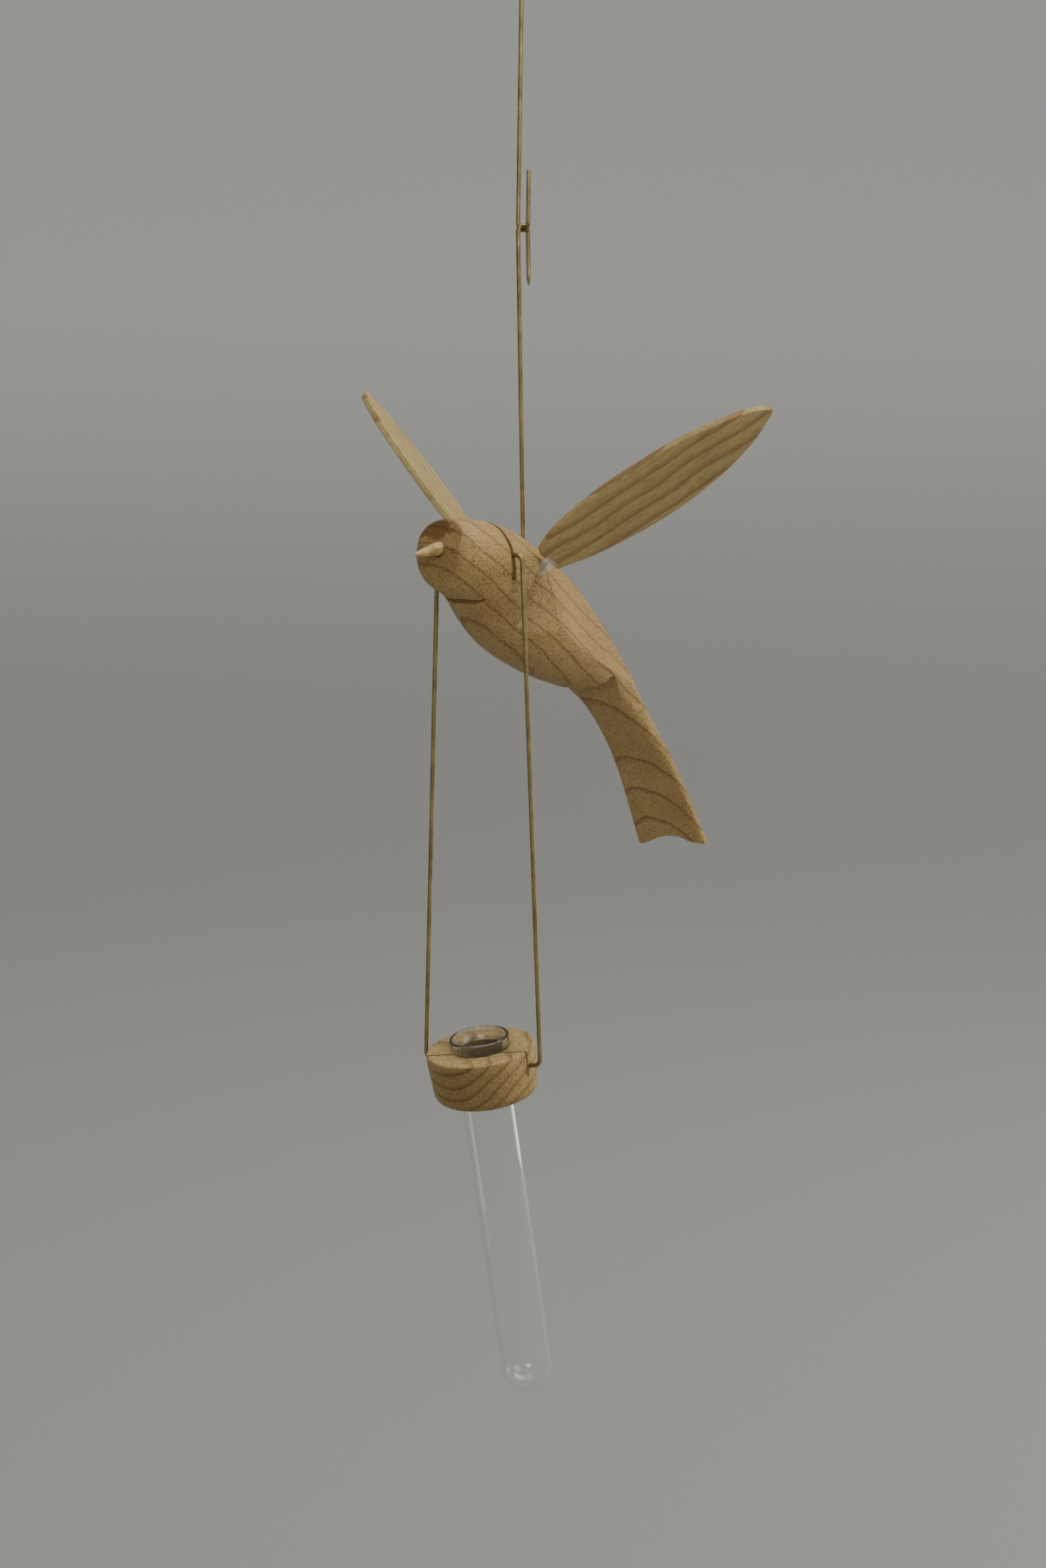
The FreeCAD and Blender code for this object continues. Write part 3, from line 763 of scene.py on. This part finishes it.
    def plane_flats(self, body: Object) -> None:
        """Planes the knife's large flats on both sides, then many small ones over the rounded parts."""
        flats = list(self.flats)
        flats += [replace(flat, spot=(-flat.spot[0], *flat.spot[1:]),
                          normal=(-flat.normal[0], *flat.normal[1:])) for flat in self.flats if flat.spot[0]]
        flats += self.chips()
        points = body.data.vertices
        for flat in flats:
            spot, normal = Vector(flat.spot) * MM, Vector(flat.normal).normalized()
            for point in points:
                away = point.co - spot
                proud = away.dot(normal)
                within = away.length < flat.reach * MM and flat.front * MM < point.co.y < flat.back * MM
                if proud > 0 and within:
                    point.co -= normal * proud

    def chips(self) -> list[Plane]:
        """Small shallow flats in a loose spiral, as a knife leaves them on a rounded form."""
        planes = []
        golden, close = math.radians(137.5), 0.05
        first_share, span_share = 0.06, 0.56
        rows = self.rows()
        last = len(rows) - 1
        for index in range(self.chip_count):
            share = first_share + span_share * (index + 0.5) / self.chip_count
            angle = index * golden + 0.35 * math.sin(index * 1.7)
            if share > 0.5 and math.sin(angle) < -0.2:
                continue
            row = round(share * last)
            section, ahead = rows[row], rows[min(row + 1, last)]
            spot = section.spot(angle)
            around = section.spot(angle + close) - section.spot(angle - close)
            normal = around.cross(ahead.spot(angle) - spot).normalized()
            if normal.dot(spot - Vector((0, section.reach, section.height))) < 0:
                normal.negate()
            depth = 0.10 + 0.10 * abs(math.sin(index * 2.3))
            planes.append(Plane(tuple(spot - normal * depth), tuple(normal), self.chip_reach))
        return planes

    def kerf(self) -> Object:
        """The saw blade's path across the neck: a seat in the middle and deeper run-outs at the sides."""
        wide, core, shoulder, high = 18.0, 10.5, 8.8, 30.0
        outline = [(-wide, high), (-wide, self.kerf_low), (-core, self.kerf_low), (-shoulder, self.kerf_seat),
                   (shoulder, self.kerf_seat), (core, self.kerf_low), (wide, self.kerf_low), (wide, high)]
        place = placed(Vector((0, YOKE_BAR.y, BACK_ENTRY.z)), turned(("X", 90)))
        return slab("saw_path", outline, self.kerf_width, place)

    def tail_cutters(self) -> tuple[Object, Object]:
        """The gouges at the tail's end: a slanted shallow arc across it, and a thumb's scoop underneath."""
        end = self.sections[-1]
        along = placed(Vector((0, end.reach, end.height)), turned(("X", -90 - end.slope)))
        aside = self.tail_notch * math.sin(math.radians(self.tail_skew))
        centre = Vector((aside, -15, self.tail_notch - self.tail_notch_depth))
        scoop = along @ placed(Vector(self.scoop_start), turned(("X", self.scoop_dip)))
        return (rod("tail_gouge", self.tail_notch, 30, along @ placed(centre, turned(("X", -90))), 240),
                rod("scoop_gouge", self.scoop_radius, 46, scoop, 200))

    def body(self) -> Object:
        """Carves the body and makes its cuts and holes."""
        body = self.loft()
        self.plane_flats(body)
        cut(body, self.kerf(), *self.tail_cutters())
        play, overrun, rub = 0.02, 0.05, 0.45
        drill_length, shank_length, blade_width = 12, 40, 60
        for name, radius, depth in (("beak_drill", self.beak_radius + play, self.beak_root),
                                    ("beak_rub", self.beak_radius + rub, 0.1)):
            cut(body, rod(name, radius, drill_length, BEAK_PLACE @ Matrix.Translation((0, 0, -depth * MM))))
        chin = placed(Vector((0, 0, self.chin_height)), turned(("Z", 90), ("X", 90)))
        blade = [(-38, -0.1), (-38, -3.6), (-27.6, -2.9), (-25.5, -0.9), (-25.2, -0.1)]
        cut(body, slab("chin_knife", blade, blade_width, chin))
        shank_foot = Vector((-HALF_HOOK, 0, -DROP_LENGTH - DROP_BURY - overrun)) * MM
        shank = drop_place() @ Matrix.Translation(shank_foot)
        cut(body, rod("back_drill", WIRE_RADIUS + play, shank_length, shank, 24))
        for side in Side:
            wing = FlappingWing(side)
            socket = wing.place() @ Matrix.Translation(Vector(wing.socket_spot) * MM)
            cut(body, block("strip_chisel", wing.socket, socket))
        tidy(body, 24)
        return body

    def beak(self) -> Object:
        """Whittles the pale peg: a turned start with knife flats, a blunt point and a root in the head."""
        girth, root = self.beak_radius, self.beak_root
        profile = [(0, -root), (girth, -root), (girth, 0.9), (1.76, 2.6), (1.52, 4.6), (1.14, 6.8),
                   (0.66, 9.0), (0.36, 10.1), (0.15, 10.35), (0, 10.37)]
        beak = turn_profile("whittled_beak", profile, 40)
        tidy(beak)
        # Each flat lies a bit deeper than the peg's girth, on its own height and a new side
        bite_share, lowest, flat_reach = 0.93, 0.4, 2.8
        for index in range(self.beak_flats):
            angle, height = index * 2.4, 1.2 + 0.55 * index
            here = (girth - 0.0125 * height ** 2.05) * bite_share
            normal = Vector((math.cos(angle), math.sin(angle), 0.10 + 0.012 * height)).normalized()
            spot = Vector((math.cos(angle) * here, math.sin(angle) * here, height)) * MM
            for point in beak.data.vertices:
                proud = (point.co - spot).dot(normal)
                if proud > 0 and point.co.z > lowest * MM and abs(point.co.z - spot.z) < flat_reach * MM:
                    point.co -= normal * proud
        beak.data.transform(BEAK_PLACE)
        tidy(beak, 22)
        return beak

    def build(self, wood: Material, pale: Material) -> None:
        """Carves and dresses the bird and its beak."""
        dress(self.body(), wood, "bird", "bird_body")
        dress(self.beak(), pale, "bird", "beak")


BEAK_PLACE = placed(Vector((0, -36.2, -171.3)), turned(("X", 94.5)))


# Wings on their clear strips
@dataclass
class FlappingWing:
    """A thin leaf of wood, and the flexible strip that lets it flap."""

    side: Side
    length: float = 75.6
    chord: float = 26.0
    thickness: float = 2.0
    sweep: float = 18.5
    rise: float = 34.0
    pitch: float = 35.0
    rim: float = 0.55
    sheet: Triple = (5.8, 4.6, 0.74)
    sheet_spot: Triple = (-1.1, 0, -1.42)
    socket: Triple = (4.6, 6.0, 1.8)
    socket_spot: Triple = (-2.2, 0, -1.4)
    leading: tuple[Pair, ...] = (
        (0.012, -0.18), (0.10, -0.33), (0.19, -0.40), (0.34, -0.452), (0.53, -0.443), (0.71, -0.39),
        (0.87, -0.262), (0.965, -0.13), (1.0, -0.02))
    trailing: tuple[Pair, ...] = (
        (0.99, 0.04), (0.945, 0.115), (0.86, 0.25), (0.70, 0.385), (0.50, 0.455), (0.32, 0.42), (0.15, 0.325),
        (0.03, 0.20), (0.004, 0.15))

    def place(self) -> Matrix:
        """The wing's own frame: X from root to tip and Y along the chord."""
        sign = self.side.value
        heading = self.sweep if self.side is Side.LEFT else 180 - self.sweep
        root = BACK_ENTRY + Vector((sign * 11.2, -4.0, -7.0))
        return placed(root, turned(("Z", heading), ("Y", -self.rise), ("X", -sign * self.pitch)))

    def outline(self) -> list[Pair]:
        """The leaf's outline in millimetres, rounded between its named points."""
        shares = self.leading + self.trailing
        count, steps = len(shares), 4
        spots = []
        for index in range(count):
            before, here, ahead, beyond = (Vector(shares[(index + shift) % count]) for shift in (-1, 0, 1, 2))
            for step in range(1 if index == count - 1 else steps):
                spot = cubic(here, ahead, (ahead - before) / 2, (beyond - here) / 2, step / steps)
                spots.append((spot.x * self.length, spot.y * self.chord * self.side.value))
        return spots

    def leaf(self) -> Object:
        """Saws the leaf out and rounds its rim by hand."""
        leaf = slab(f"{self.side.name.lower()}_wing_leaf", self.outline(), self.thickness, Matrix.Identity(4))
        edit(leaf, "EDGE")
        bpy.ops.mesh.bevel(offset=self.rim * MM, segments=3, profile=0.6, affect="EDGES", offset_type="WIDTH")
        tidy(leaf, 40)
        leaf.data.transform(self.place())
        return leaf

    def strip(self) -> Object:
        """Cuts the clear strip with its corners clipped, a hair thinner than the space it is glued in."""
        clip, edge_round = 0.5, 0.08
        sheet = block(f"{self.side.name.lower()}_wing_flexure", self.sheet, Matrix.Identity(4))
        pick_edges(sheet, lambda edge: edge.verts[0].co.z * edge.verts[1].co.z < 0)
        bpy.ops.mesh.bevel(offset=clip * MM, segments=2, affect="EDGES")
        bpy.ops.mesh.select_all(action="SELECT")
        bpy.ops.mesh.bevel(offset=edge_round * MM, segments=1, affect="EDGES")
        tidy(sheet, 30)
        sheet.data.transform(self.place() @ Matrix.Translation(Vector(self.sheet_spot) * MM))
        return sheet

    def build(self, wood: Material, clear: Material) -> None:
        """Makes and dresses the wing and its strip."""
        word = self.side.name.lower()
        dress(self.leaf(), wood, f"{word}_wing", f"{word}_wing")
        dress(self.strip(), clear, f"{word}_wing", f"{word}_wing_strip")


# Collar and tube
@dataclass
class CollarAndTube:
    """The turned collar that hangs in the yoke, and the glass tube that hangs in the collar."""

    radius: float = 15.3
    foot: float = 14.7
    height: float = 14.5
    pivot_depth: float = 4.6
    bore: float = 7.75
    sink: float = 0.8
    foot_round: float = 3.2
    rim_round: float = 0.7
    pivot_hole: float = 4.0
    running_gap: float = 0.05
    kerf_width: float = 0.7
    kerf_depth: float = 7.6
    kerf_offset: float = 5.3
    kerf_angle: float = 15.7
    tube: float = 7.5
    wall: float = 1.0
    length: float = 109.18
    lip: float = 8.45
    lip_height: float = 3.2

    def place(self) -> Matrix:
        """The collar's own frame at its pivot line, with Z along the tube."""
        return placed(PIVOT, turned(("Z", PIVOT_TURN), ("Y", -PIVOT_ROLL), ("X", COLLAR_TIP)))

    def collar(self) -> Object:
        """Turns the ring, drills its pivots and saws the slot across its top."""
        top, low = self.pivot_depth, self.pivot_depth - self.height
        round_foot = arc((self.foot - self.foot_round, low + self.foot_round), self.foot_round, -90, 0, 8)
        round_rim = arc((self.radius - self.rim_round, top - self.rim_round), self.rim_round, 0, 90, 5)
        profile = [(self.bore, low + 0.4), (self.bore + 0.4, low)] + round_foot + [(self.radius, top - 3.0)]
        profile += round_rim + arc((self.bore + self.sink + 0.2, top - 0.2), 0.2, 90, 135, 2)
        profile += [(self.bore, top - self.sink)]
        ring = turn_profile("turned_collar", profile, 128, closed=True)
        tidy(ring)
        for sign in (1, -1):
            reach = sign * (self.radius - self.pivot_hole) * MM
            start = Matrix.Translation((reach, 0, 0)) @ turned(("Y", sign * 90))
            cut(ring, rod("pivot_drill", WIRE_RADIUS + self.running_gap, 6, start, 24))
        blade_length, blade_depth = 40.0, 10.0
        middle = Vector((0, -self.kerf_offset, top - self.kerf_depth + blade_depth / 2))
        saw = turned(("Z", self.kerf_angle)) @ Matrix.Translation(middle * MM)
        cut(ring, block("collar_saw", (blade_length, self.kerf_width, blade_depth), saw))
        tidy(ring, 30)
        ring.data.transform(self.place())
        return ring

    def glass(self) -> Object:
        """Blows the tube: a round end, an even wall and a flared, fire polished lip."""
        seat = self.pivot_depth
        top = seat + self.lip_height
        end = top - self.length
        inner = self.tube - self.wall
        ball = end + self.tube
        outside = arc((0, ball), self.tube, -90, 0, 24)
        flare = [(self.tube + out, seat + up) for out, up in (
            (0, -1.3), (0.05, -0.8), (0.25, -0.3), (0.5, 0.2), (0.67, 0.8), (0.8, 1.6))]
        bead = arc((self.lip - 0.5, top - 0.5), 0.5, -15, 190, 14)
        throat = [(inner + out, top - down) for out, down in (
            (0.87, 1.1), (0.66, 1.9), (0.40, 2.8), (0.16, 3.7), (0.04, 4.5), (0, 5.4))]
        inside = arc((0, ball), inner, 0, -90, 24)
        profile = outside + flare + bead + throat + inside
        profile[0], profile[-1] = (0, end), (0, end + self.wall)
        tube = turn_profile("glass_tube", profile, 128)
        tidy(tube, 60)
        tube.data.transform(self.place())
        return tube

    def build(self, wood: Material, glass: Material) -> None:
        """Makes and dresses the collar and the tube."""
        dress(self.collar(), wood, "collar", "collar")
        dress(self.glass(), glass, "tube", "test_tube")


# Studio
@dataclass(frozen=True)
class Lamp:
    """A soft square lamp. Places and its side are in metres, its power in watts, and its tone is hex."""

    name: str
    spot: Triple
    side: float
    power: float
    tone: str
    faces: Triple


@dataclass
class Studio:
    """A pale round floor that curves up into a wall, soft lamps and the camera."""

    floor: float = -0.62
    flat: float = 1.6
    bend: float = 2.4
    wall: float = 3.2
    floor_shade_top: float = -0.12
    shaded_floor_tone: str = "#92918c"
    wall_tone: str = "#b6b6b1"
    azimuth: float = 38.0
    elevation: float = 10.0
    distance: float = 0.830
    aim: Triple = (0, 0, -0.240)
    lens_share: float = 1.891
    sensor: float = 36.0
    sky: str = "#e9ebee"
    sky_strength: float = 0.48

    def lamps(self) -> tuple[Lamp, ...]:
        """The key lamp behind and above, softer ones at the sides and the front, and one for the wall."""
        return (Lamp("key_lamp", (0.85, 0.95, 1.25), 1.1, 17.8, "#fff9ee", self.aim),
                Lamp("side_lamp", (1.5, 0.2, 0.3), 0.9, 7.0, "#fbfaff", self.aim),
                Lamp("rim_lamp", (0.25, 1.2, -0.45), 0.55, 1.7, "#fffaf2", self.aim),
                Lamp("wall_lamp", (0.3, 0.2, 2.6), 1.6, 54.0, "#fbfbff", (-1.9, 2.4, -0.5)),
                Lamp("fill_lamp", (1.3, -2.2, 0.55), 1.1, 19.0, "#fdfcfa", self.aim))

    def cove(self) -> None:
        """Turns the floor and its wall as one smooth bowl."""
        inside = arc((self.flat, self.floor + self.bend), self.bend, -90, 0, 24)
        profile = [(0, self.floor)] + inside + [(self.flat + self.bend, self.wall)]
        bowl = turn_profile("studio_floor", [(radius / MM, height / MM) for radius, height in profile])
        edit(bowl)
        bpy.ops.mesh.remove_doubles(threshold=0.01 * MM)
        take(bowl)
        bpy.ops.object.shade_smooth()
        paint = Look("Matt studio paint")
        # Painted shade: the paint is darker on the floor and fades up to the lighter wall tone
        height = paint.add("ShaderNodeSeparateXYZ", {"Vector": paint.places}).outputs["Z"]
        rise = paint.spread(height, self.floor, self.floor_shade_top, course="SMOOTHSTEP")
        tone = paint.blend(rise, self.shaded_floor_tone, self.wall_tone)
        bowl.data.materials.append(paint.finish({"Base Color": tone, "Roughness": 0.9}))

    def stand(self, name: str, data: ID, spot: Vector, way: Vector) -> Object:
        """Stands a lamp or a camera on a spot and turns it to look along a way."""
        holder = bpy.data.objects.new(name, data)
        bpy.context.scene.collection.objects.link(holder)
        holder.location = spot
        holder.rotation_euler = way.to_track_quat("-Z", "Y").to_euler()
        return holder

    def hang(self, lamp: Lamp) -> None:
        """Hangs a lamp out of the camera's sight."""
        light = bpy.data.lights.new(lamp.name, "AREA")
        light.shape, light.size, light.energy = "SQUARE", lamp.side, lamp.power
        light.color = colour(lamp.tone)[:3]
        spot = Vector(lamp.spot)
        self.stand(lamp.name, light, spot, Vector(lamp.faces) - spot).visible_camera = False

    def camera(self) -> None:
        """Stands the camera where the photo was taken from."""
        azimuth, elevation = math.radians(self.azimuth), math.radians(self.elevation)
        level = math.cos(elevation)
        back = Vector((math.sin(azimuth) * level, -math.cos(azimuth) * level, math.sin(elevation)))
        eye = bpy.data.cameras.new("camera")
        eye.sensor_fit, eye.sensor_height, eye.lens = "VERTICAL", self.sensor, self.sensor * self.lens_share
        spot = Vector(self.aim) + back * self.distance
        bpy.context.scene.camera = self.stand("camera", eye, spot, -back)

    def build(self) -> None:
        """Sets up the whole studio."""
        self.cove()
        for lamp in self.lamps():
            self.hang(lamp)
        world = bpy.data.worlds.new("studio_sky")
        bpy.context.scene.world = world
        world.use_nodes = True
        tree = world.node_tree
        feed(tree, tree.nodes["Background"], {"Color": self.sky, "Strength": self.sky_strength})
        self.camera()


def main() -> None:
    """Builds the pieces in order, from the top of the hanger down."""
    logging.basicConfig(level=logging.INFO, format="%(message)s")
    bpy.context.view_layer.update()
    brass, glass, clear = DrawnBrass().build(), BlownGlass().build(), ClearSheet().build()
    BentWires().build(brass)

    # Knife-cut elm, oiled: warm yellow brown with thin dark rings and open pores, and a dark spot over the
    # beak that is partly browned end grain and partly painted shade
    body_pith = placed(Vector((-3, 20, -262)), turned(("Z", 90), ("Y", 35)))
    bird_wood = CutWood(
        "Carved and oiled elm", early="#b69c66", late="#8d6f45", shade="#aa8e5a", pith=body_pith,
        ring_mm=4.8, ring_share=0.22, wobble=4.0, pore_mm=0.30, pore_run=2.0, pore_share=0.80,
        end_grain_and_shade=0.28, roughness=0.56, mark_mm=3.6, brow_shade_spot=Vector((-3.6, -34.0, -165.6))).build()
    # Knife-cut lime: paler, close grained and almost without figure
    beak_wood = CutWood(
        "Whittled pale lime wood", early="#c0a56c", late="#987c4c", shade="#b0955b",
        pith=BEAK_PLACE @ turned(("Y", 90)), ring_mm=1.6, ring_share=0.3, wobble=0.8, pore_mm=0.3,
        pore_run=6.0, pore_share=0.25, end_grain_and_shade=0.1, roughness=0.5, mark_mm=1.6).build()
    CarvedBird().build(bird_wood, beak_wood)

    # Planed elm: broad soft stripes along the leaf, and pores drawn out into fine streaks
    for side in Side:
        wing = FlappingWing(side)
        wing_pith = wing.place() @ placed(Vector((0, -95, 22)), turned(("Z", 2)))
        wing_wood = CutWood(
            f"Planed elm, {side.name.lower()} wing", early="#b5a26c", late="#96774e", shade="#a99461",
            pith=wing_pith, ring_mm=5.3, ring_share=0.55, wobble=4.2, pore_mm=0.4, pore_run=9.0,
            pore_share=0.35, end_grain_and_shade=0.3, roughness=0.58, mark_mm=9.0).build()
        wing.build(wing_wood, clear)

    # Turned elm, sanded: arched rings, speckled pores, and a darker side where end grain shows, turned to the
    # side away from the light, so partly painted shade
    vessel = CollarAndTube()
    # The grain is turned so that the darker end grain falls on the shaded side of the collar: partly painted
    # shade
    collar_pith = vessel.place() @ placed(Vector((-14, 0, 34)), turned(("Z", -76), ("Y", 14)))
    collar_wood = CutWood(
        "Turned and sanded elm", early="#bba16c", late="#8f764d", shade="#ad945f", pith=collar_pith,
        ring_mm=3.6, ring_share=0.45, wobble=7.0, pore_mm=0.34, pore_run=4.5, pore_share=0.75,
        end_grain_and_shade=0.55, roughness=0.6, mark_mm=5.0).build()
    vessel.build(collar_wood, glass)
    Studio().build()


if __name__ == "__main__":
    main()
